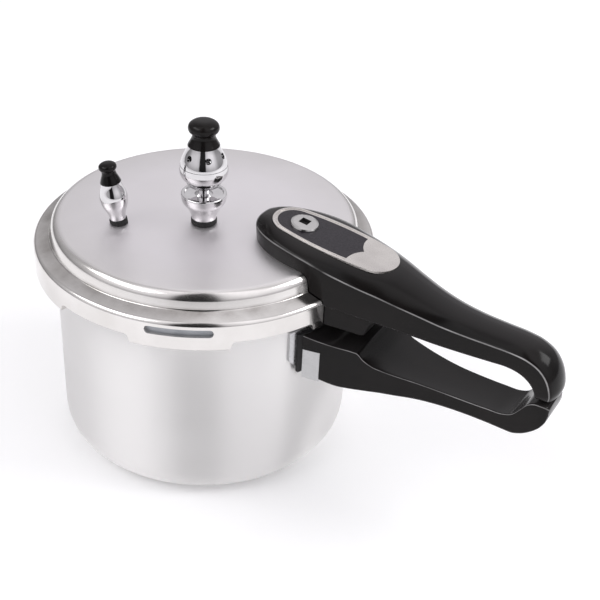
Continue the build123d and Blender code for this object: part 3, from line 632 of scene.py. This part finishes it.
POT_SECTION = rounded((
    (0, 0), (92.7, 0, 20), (92.7, 124.8, 0.5), (95.4, 124.8, 0.4), (95.4, 128.2, 0.8), (90.2, 128.2, 0.8),
    (90.2, 4, 17.5), (0, 4),
))
LID_SECTION = rounded((
    (0, 153.2), (46.7, 152.9, 900), (93.4, 152.0, 6.5), (95.7, 141.9, 1.3), (105.5, 139.0, 3.3),
    (105.5, 121.2, 1.6), (96.0, 121.2, 0.6), (96.0, 124.0, 0.5), (103.3, 124.0, 0.8), (103.3, 137.3, 1.6),
    (93.8, 140.1, 2.4), (91.4, 149.9, 4.3), (0, 151.0),
))


def round_pot(angle, radius, height):
    """Place by angle in degrees, radius and height in mm."""
    turn = radians(angle)
    return Vector((radius * cos(turn), radius * sin(turn), height)) * MM


def curved_cutter(start, end, radii, heights):
    """Curved block between two angles and two radii. A function gives each column's low and high level."""
    inner, outer = radii
    count = int((end - start) / COLUMN)
    rings = []
    for k in range(count + 1):
        angle = start + (end - start) * k / count
        low, high = heights(angle)
        corners = ((inner, low), (outer, low), (outer, high), (inner, high))
        rings.append([round_pot(angle, radius, level) for radius, level in corners])
    return skinned(rings)


def rounding(radius, along):
    """How far a rounded corner stands back from its square edge, at a distance along from its end."""
    return radius - sqrt(max(radius**2 - (radius - along) ** 2, 0))


def notch_heights(start, end):
    """Levels cut out of the skirt between two lugs, with round lug corners and round notch corners."""
    def heights(angle):
        inside = min(angle - start, end - angle) * radians(1) * LID_R
        if inside < 0:
            level = LUG_Z + rounding(LUG_CORNER_R, -inside)
        elif inside < NOTCH_R:
            level = SKIRT_Z - rounding(NOTCH_R, inside)
        else:
            level = SKIRT_Z
        return LUG_Z - BELOW_LUGS, level
    return heights


def window_heights(angle):
    """Lower and upper edge of the gasket window, with round ends."""
    inside = (WINDOW_SPAN / 2 - abs(angle - WINDOW_ANGLE)) * radians(1) * LID_R
    drop = rounding(WINDOW_END_R, inside) if inside < WINDOW_END_R else 0
    drop = min(drop, (WINDOW_HIGH - WINDOW_LOW - WINDOW_LEAST) / 2)
    return WINDOW_LOW + drop, WINDOW_HIGH - drop


def lid_mesh():
    """Spun lid with six bayonet lugs, a gasket window and the two valve holes."""
    tools = []
    reach = LUG_CORNER_R / LID_R / radians(1)
    for lug in range(LUG_COUNT):
        start = LUG_OFFSET + lug * LUG_PITCH + LID_LUG_SPAN / 2
        end = LUG_OFFSET + (lug + 1) * LUG_PITCH - LID_LUG_SPAN / 2
        tools.append(curved_cutter(start - reach, end + reach, NOTCH_CUT, notch_heights(start, end)))
    half = WINDOW_SPAN / 2
    tools.append(curved_cutter(WINDOW_ANGLE - half, WINDOW_ANGLE + half, WINDOW_CUT, window_heights))
    tools.append(prism(disc(VENT_X, VENT_Y, VENT_HOLE_R), *HOLE_CUT, upright))
    tools.append(prism(disc(SAFETY_X, SAFETY_Y, SAFETY_HOLE_R), *HOLE_CUT, upright))
    return joined(turned_solid(LID_SECTION), *tools)


def pot_lug(middle):
    """One bayonet lug of the pot's rim, with rounded outer corners."""
    half = POT_LUG_SPAN / 2
    reach = half - POT_LUG_CORNER_R / POT_LUG_R / radians(1)
    points = [round_pot(middle + side * half, POT_LUG_ROOT_R, 0) / MM for side in (1, -1)]
    for tip, first_turn in ((-reach, -90), (reach, 0)):
        centre = round_pot(middle + tip, POT_LUG_R - POT_LUG_CORNER_R, 0) / MM
        for k in range(LUG_CORNER_STEPS + 1):
            turn = radians(middle + tip + first_turn + 90 * k / LUG_CORNER_STEPS)
            points.append(centre + Vector((cos(turn), sin(turn), 0)) * POT_LUG_CORNER_R)
        if tip < 0:
            for k in range(1, LUG_ARC_STEPS):
                angle = middle + tip + 2 * reach * k / LUG_ARC_STEPS
                points.append(round_pot(angle, POT_LUG_R, 0) / MM)
    return prism([(p.x, p.y) for p in points], FLANGE_LOW, FLANGE_HIGH, upright)


def make_shells():
    """The pot with its lugs, and the lid."""
    lugs = [pot_lug(LUG_OFFSET + lug * LUG_PITCH) for lug in range(LUG_COUNT)]
    pot = joined(turned_solid(POT_SECTION), *lugs, operation="UNION")
    piece("pot_body", pot, "pot", POT_METAL, ["pot_shell"])
    piece("lid_body", lid_mesh(), "lid", LID_METAL, ["lid_shell"])


# ---------------------------------------------------------------- handles
# A handle is a row of cross sections along its length. Each section is symmetric: a domed crown, a rounded
# upper edge, a wall, a rounded lower edge and a flat belly.
CROWN_STEPS, CORNER_STEPS, WALL_STEPS, BELLY_STEPS = 12, 5, 4, 4
# Strength of the painted edge highlight on the upper and lower edges of a handle.
UPPER_GLINT, LOWER_GLINT = 1.0, 0.35
WIDTH_SHARE, DEPTH_SHARE = 0.45, 0.3        # an edge radius stays below these shares of a section


def corner_curve(start, corner, end, steps):
    """Points of a curve that rounds a corner, without its start."""
    out = []
    for k in range(1, steps + 1):
        t = k / steps
        shares = ((1 - t) ** 2, 2 * t * (1 - t), t**2)
        out.append(tuple(sum(w * v for w, v in zip(shares, axis)) for axis in zip(start, corner, end)))
    return out


def section(row):
    """Closed ring of points across a handle. Row: outer x and z, inner x and z, half width at the upper edge,
    depth of that edge below the crown, half width at the lower edge, crown exponent, upper and lower edge
    radius. Outer is the crown's side and inner the belly's."""
    outer_x, outer_z, inner_x, inner_z, edge, drop, base, power, edge_r, base_r = row
    depth = hypot(inner_x - outer_x, inner_z - outer_z)
    edge_r = min(edge_r, WIDTH_SHARE * edge, DEPTH_SHARE * depth)
    base_r = min(base_r, WIDTH_SHARE * base, DEPTH_SHARE * depth)
    out = [(edge - edge_r) * k / CROWN_STEPS for k in range(CROWN_STEPS + 1)]
    half = [(y, drop * (y / edge) ** power) for y in out]
    wall = hypot(base - edge, depth - drop)
    down = ((base - edge) / wall, (depth - drop) / wall)
    top = (edge + down[0] * edge_r, drop + down[1] * edge_r)
    low = (base - down[0] * base_r, depth - down[1] * base_r)
    half += corner_curve(half[-1], (edge, drop), top, CORNER_STEPS)
    half += [tuple(a + (b - a) * k / WALL_STEPS for a, b in zip(top, low)) for k in range(1, WALL_STEPS + 1)]
    half += corner_curve(low, (base, depth), (base - base_r, depth), CORNER_STEPS)
    half += [((base - base_r) * (1 - k / BELLY_STEPS), depth) for k in range(1, BELLY_STEPS + 1)]
    ring = half + [(-y, s) for y, s in reversed(half[1:-1])]
    along = ((inner_x - outer_x) / depth, (inner_z - outer_z) / depth)
    return [Vector((outer_x + along[0] * s, y, outer_z + along[1] * s)) * MM for y, s in ring]


def edge_glint():
    """How much painted edge highlight each point of a section takes: most in the middle of the upper edges,
    less on the lower ones.
    """
    middle = (CORNER_STEPS + 1) // 2
    upper, lower = CROWN_STEPS + middle, CROWN_STEPS + CORNER_STEPS + WALL_STEPS + middle
    last = CROWN_STEPS + 2 * CORNER_STEPS + WALL_STEPS + BELLY_STEPS
    amount = {upper: UPPER_GLINT, lower: LOWER_GLINT}
    half = [amount.get(k, 0.0) for k in range(last + 1)]
    return half + half[1:-1][::-1]


def lofted(rows, steps=8):
    """Solid through a table of sections, with extra sections between them."""
    bm = skinned([section(row) for row in dense(rows, steps)], edge_glint())
    bmesh.ops.recalc_face_normals(bm, faces=bm.faces)
    return bm


# Sections of the lid's handle, from its head on the dome to the tip.
LID_GRIP = (
    (39.7, 160.8, 40.9, 151.0, 1.2, 0.4, 1.1, 2.5, 0.4, 0.4),
    (40.5, 163.4, 41.6, 151.0, 5.2, 1.6, 4.9, 2.6, 1.2, 0.8),
    (42.6, 165.9, 43.5, 151.0, 9.8, 3.5, 9.3, 2.8, 1.5, 0.8),
    (46.4, 167.6, 47.0, 151.0, 13.8, 5.2, 13.3, 3.0, 1.6, 0.8),
    (52.0, 168.5, 52.4, 151.0, 17.9, 6.1, 17.5, 3.3, 1.6, 0.8),
    (61.0, 167.6, 61.2, 151.0, 22.4, 5.1, 22.1, 3.8, 1.6, 0.8),
    (70.0, 166.5, 70.0, 151.0, 24.9, 4.5, 24.9, 4.0, 1.6, 0.8),
    (79.0, 165.3, 79.0, 150.0, 26.4, 4.3, 26.6, 4.0, 1.6, 0.8),
    (86.0, 164.5, 86.0, 144.0, 26.9, 4.6, 28.4, 4.0, 1.6, 1.0),
    (93.0, 163.6, 93.0, 137.0, 27.1, 5.2, 29.6, 3.8, 1.6, 1.0),
    (100.0, 162.7, 100.0, 136.4, 26.9, 6.0, 29.6, 3.5, 1.5, 1.0),
    (110.0, 161.4, 110.0, 135.2, 26.2, 6.9, 27.9, 3.0, 1.4, 1.0),
    (120.0, 160.0, 120.0, 133.6, 24.9, 7.8, 25.8, 2.6, 1.3, 1.1),
    (132.0, 157.8, 132.0, 131.8, 22.4, 8.6, 22.9, 2.3, 1.3, 1.4),
    (142.0, 154.4, 142.0, 130.2, 20.2, 8.1, 20.6, 2.2, 1.3, 1.5),
    (154.0, 150.2, 154.0, 128.4, 17.7, 7.0, 18.1, 2.1, 1.3, 1.6),
    (168.0, 146.3, 168.0, 126.9, 15.7, 6.1, 16.1, 2.1, 1.3, 1.7),
    (184.0, 143.8, 184.0, 126.5, 14.2, 5.4, 14.7, 2.1, 1.3, 1.7),
    (200.0, 142.7, 200.0, 126.9, 13.4, 5.0, 14.0, 2.1, 1.3, 1.7),
    (212.0, 141.9, 209.0, 127.1, 13.1, 4.8, 13.7, 2.1, 1.3, 1.7),
    (222.2, 139.8, 216.5, 125.6, 12.8, 4.6, 13.5, 2.1, 1.4, 1.7),
    (230.2, 135.2, 221.2, 123.0, 12.5, 4.2, 13.3, 2.1, 1.5, 1.7),
    (235.4, 128.6, 224.4, 119.8, 12.2, 3.8, 13.1, 2.1, 1.6, 1.7),
    (238.1, 121.6, 226.2, 116.6, 12.0, 3.5, 12.9, 2.1, 1.6, 1.6),
    (238.8, 116.2, 227.0, 114.2, 11.7, 3.2, 12.6, 2.1, 1.6, 1.4),
    (238.2, 112.9, 227.6, 112.9, 11.0, 3.0, 11.8, 2.1, 1.4, 1.2),
)
# Sections of the block below the lid's handle, in front of the skirt.
LID_TONGUE = (
    (94.0, 141.0, 94.0, 123.4, 28.6, 0.3, 28.6, 2.0, 0.5, 0.8),
    (102.0, 141.0, 102.0, 123.2, 28.2, 0.3, 28.2, 2.0, 0.5, 0.8),
    (110.0, 141.0, 110.0, 122.5, 26.6, 0.3, 26.6, 2.0, 0.5, 0.8),
    (118.0, 140.0, 118.0, 121.7, 24.8, 0.3, 24.8, 2.0, 0.5, 0.8),
    (124.6, 138.0, 124.6, 121.2, 23.3, 0.3, 23.3, 2.0, 0.5, 0.8),
    (125.6, 138.0, 125.6, 121.6, 23.1, 0.3, 23.1, 2.0, 0.5, 0.8),
    (127.0, 138.0, 127.0, 125.6, 22.7, 0.3, 22.7, 2.0, 0.5, 0.8),
    (128.6, 138.0, 128.6, 129.0, 22.3, 0.3, 22.3, 2.0, 0.5, 0.8),
    (131.5, 138.0, 131.5, 131.6, 21.6, 0.3, 21.6, 2.0, 0.5, 0.8),
    (135.0, 138.0, 135.0, 133.0, 20.7, 0.3, 20.7, 2.0, 0.5, 0.8),
)
# Sections of the pot's handle, from inside its ferrule to the tip.
POT_GRIP = (
    (84.0, 114.6, 84.0, 88.2, 33.6, 0.0, 33.6, 2.0, 1.0, 1.0),
    (90.0, 113.4, 90.0, 87.2, 32.5, 0.0, 32.5, 2.0, 1.0, 1.0),
    (101.9, 111.4, 101.9, 84.2, 30.2, 0.0, 30.2, 2.0, 1.0, 1.0),
    (112.0, 110.0, 112.0, 81.9, 27.6, 0.0, 27.6, 2.0, 1.0, 1.2),
    (120.4, 109.2, 120.4, 82.0, 25.4, 0.0, 25.5, 2.0, 1.0, 1.3),
    (123.2, 108.6, 123.0, 82.2, 24.7, 0.0, 24.9, 2.0, 1.0, 1.3),
    (126.6, 105.2, 126.0, 82.5, 23.9, 0.0, 24.2, 2.0, 1.0, 1.4),
    (132.0, 101.5, 131.0, 82.9, 22.6, -0.3, 23.0, 2.0, 1.0, 1.5),
    (138.0, 99.4, 137.0, 83.4, 21.0, -0.6, 21.4, 2.0, 1.0, 1.6),
    (146.0, 97.9, 146.0, 84.1, 19.2, -0.8, 19.6, 2.0, 1.0, 1.8),
    (158.0, 96.5, 158.0, 85.2, 16.8, -1.0, 17.2, 2.0, 1.0, 2.0),
    (172.0, 95.3, 172.0, 85.9, 15.0, -1.1, 15.4, 2.0, 1.0, 2.0),
    (188.0, 94.7, 188.0, 86.2, 14.2, -1.1, 14.6, 2.0, 1.0, 2.0),
    (202.0, 94.7, 202.0, 85.8, 13.8, -1.1, 14.2, 2.0, 1.0, 2.0),
    (211.6, 95.2, 212.0, 85.2, 13.6, -1.0, 14.0, 2.0, 1.0, 2.0),
    (216.6, 97.4, 218.0, 85.0, 13.5, -0.8, 13.9, 2.0, 1.0, 2.0),
    (220.6, 102.4, 223.0, 86.5, 13.3, -0.4, 13.7, 2.0, 1.0, 2.0),
    (224.6, 108.0, 227.0, 88.8, 13.2, 0.0, 13.5, 2.0, 1.0, 2.0),
    (228.0, 109.8, 230.5, 91.6, 13.0, 0.1, 13.3, 2.0, 1.2, 2.0),
    (232.0, 109.9, 233.5, 95.0, 12.5, 0.3, 12.9, 2.0, 1.4, 2.0),
    (235.2, 109.3, 235.6, 99.0, 11.6, 0.5, 12.0, 2.0, 1.6, 1.8),
    (236.3, 108.2, 236.4, 102.4, 10.4, 0.6, 10.8, 2.0, 1.4, 1.4),
)

# Space of the lid, a little larger than its outside, that the lid's handle is cut back from.
LID_CLEARANCE = rounded((
    (0, 153.45), (93.7, 152.25, 6.8), (96.2, 142.4, 1.0), (106.0, 139.5, 4.0), (106.0, 119.0), (0, 119.0),
))
SPACER_R, SPACER_CUT = 96.6, (60, 130)
SCREW_X, SCREW_BORE_R, BORE_CUT = 112, 4.9, (75, 86)
FERRULE_INNER_Z, FERRULE_TOP_Z = 84.5, 103.5
FERRULE_ENDS = ((80.0, 32.05), (101.9, 28.6))       # x and half width inside the ferrule at its two ends
FERRULE_CUT_Y, FERRULE_CUT_Z = 45, 70               # how far out and down its cutter reaches

BADGE_X, BADGE_Z, BADGE_TILT = 91.5, 163.2, radians(7.2)
BADGE_HALF, BADGE_WIDE, BADGE_END_R = 41.0, 16.8, 14.5
BADGE_DEPTH, BADGE_GAP, BADGE_CUT = 1.2, 0.15, 9
SCREW_ALONG, SCREW_TOP, SOCKET_REACH = -21.3, 2.3, 3.3      # the lid handle's screw, on the badge


def badge_point(along, across, up=0.0):
    """Place on the badge, in metres, from millimetres along, across and above its face."""
    x = BADGE_X + along * cos(BADGE_TILT) + up * sin(BADGE_TILT)
    z = BADGE_Z - along * sin(BADGE_TILT) + up * cos(BADGE_TILT)
    return Vector((x, across, z)) * MM


def oval_ring(inset, steps=96):
    """Oval of the badge as evenly turned (along, across) points."""
    half, wide, end_r = BADGE_HALF - inset, BADGE_WIDE - inset, BADGE_END_R - inset
    reach = half - end_r
    side_r = (reach**2 + wide**2 - end_r**2) / (2 * (wide - end_r))
    out = []
    for k in range(steps):
        turn = 2 * pi * k / steps
        c, s = cos(turn), sin(turn)
        if abs(s) * (side_r - end_r) > side_r - wide:
            out.append((side_r * c, side_r * s - (1 if s > 0 else -1) * (side_r - wide)))
        else:
            out.append(((1 if c > 0 else -1) * reach + end_r * c, end_r * s))
    return out


def ferrule_cutter():
    """U-shaped space round the root of the pot's handle that the ferrule fills."""
    rings = []
    for x, inner in FERRULE_ENDS:
        half = ((FERRULE_CUT_Y, FERRULE_CUT_Z), (FERRULE_CUT_Y, FERRULE_TOP_Z), (inner, FERRULE_TOP_Z),
                (inner, FERRULE_INNER_Z))
        profile = half + tuple((-y, z) for y, z in reversed(half))
        rings.append([upright(x, y, z) for y, z in profile])
    return skinned(rings)


def make_handles():
    """The lid's handle with its recess for the badge, the block below it, and the pot's handle."""
    recess = prism(oval_ring(-BADGE_GAP), -BADGE_DEPTH, BADGE_CUT, badge_point)
    grip = joined(lofted(LID_GRIP), turned_solid(LID_CLEARANCE), recess)
    piece("lid_grip", grip, "lid", GRIP_PHENOLIC, ["lid_handle"])
    tongue = joined(lofted(LID_TONGUE, 4), turned_solid(LID_CLEARANCE))
    piece("lid_grip_tongue", tongue, "lid", DULL_PHENOLIC, ["lid_handle"])
    wall = prism(disc(0, 0, SPACER_R, TURN_STEPS), *SPACER_CUT, upright)
    bore = prism(disc(SCREW_X, 0, SCREW_BORE_R), *BORE_CUT, upright)
    grip = joined(lofted(POT_GRIP), wall, ferrule_cutter(), bore)
    piece("pot_grip", grip, "pot", GRIP_PHENOLIC, ["pot_handle"])


# ---------------------------------------------------------------- safety valve spring
SAFETY_Z, SAFETY_LEAN = 152.9, Vector((-0.114, -0.080, 0.990)).normalized()
SPRING_LOW, SPRING_HIGH, SPRING_PITCH, SPRING_R, WIRE_R = 11.0, 25.4, 2.2, 2.6, 0.35
SPRING_STEPS, WIRE_STEPS = 168, 10


def make_spring():
    """Coil between the plunger and the hood."""
    across = Vector((0, 1, 0)).cross(SAFETY_LEAN).normalized()
    third = SAFETY_LEAN.cross(across)
    foot = Vector((SAFETY_X, SAFETY_Y, SAFETY_Z))
    rise = SPRING_HIGH - SPRING_LOW
    angles = [2 * pi * n / WIRE_STEPS for n in range(WIRE_STEPS)]
    rings = []
    for k in range(SPRING_STEPS + 1):
        turn = 2 * pi * rise / SPRING_PITCH * k / SPRING_STEPS
        out = across * cos(turn) + third * sin(turn)
        centre = foot + SAFETY_LEAN * (SPRING_LOW + rise * k / SPRING_STEPS) + out * SPRING_R
        rings.append([(centre + (out * cos(a) + SAFETY_LEAN * sin(a)) * WIRE_R) * MM for a in angles])
    coil = piece("safety_coil", skinned(rings), None, STEEL, ["safety_spring"])
    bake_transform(coil)


# ---------------------------------------------------------------- build
def make_floor():
    """Wide white floor."""
    bm = bmesh.new()
    corners = ((-1, -1), (1, -1), (1, 1), (-1, 1))
    bm.faces.new([bm.verts.new((x * FLOOR_HALF, y * FLOOR_HALF, 0)) for x, y in corners])
    mesh = bpy.data.meshes.new("floor")
    bm.to_mesh(mesh)
    bm.free()
    mesh.materials.append(floor_look())
    link(bpy.data.objects.new("floor", mesh))


bpy.context.scene.view_settings.view_transform = "Standard"
make_camera()
make_world()
for lamp in LAMPS:
    softbox(*lamp)
make_floor()
paint_cad_nodes()
paint_socket_shade()
make_shells()
make_handles()
make_spring()
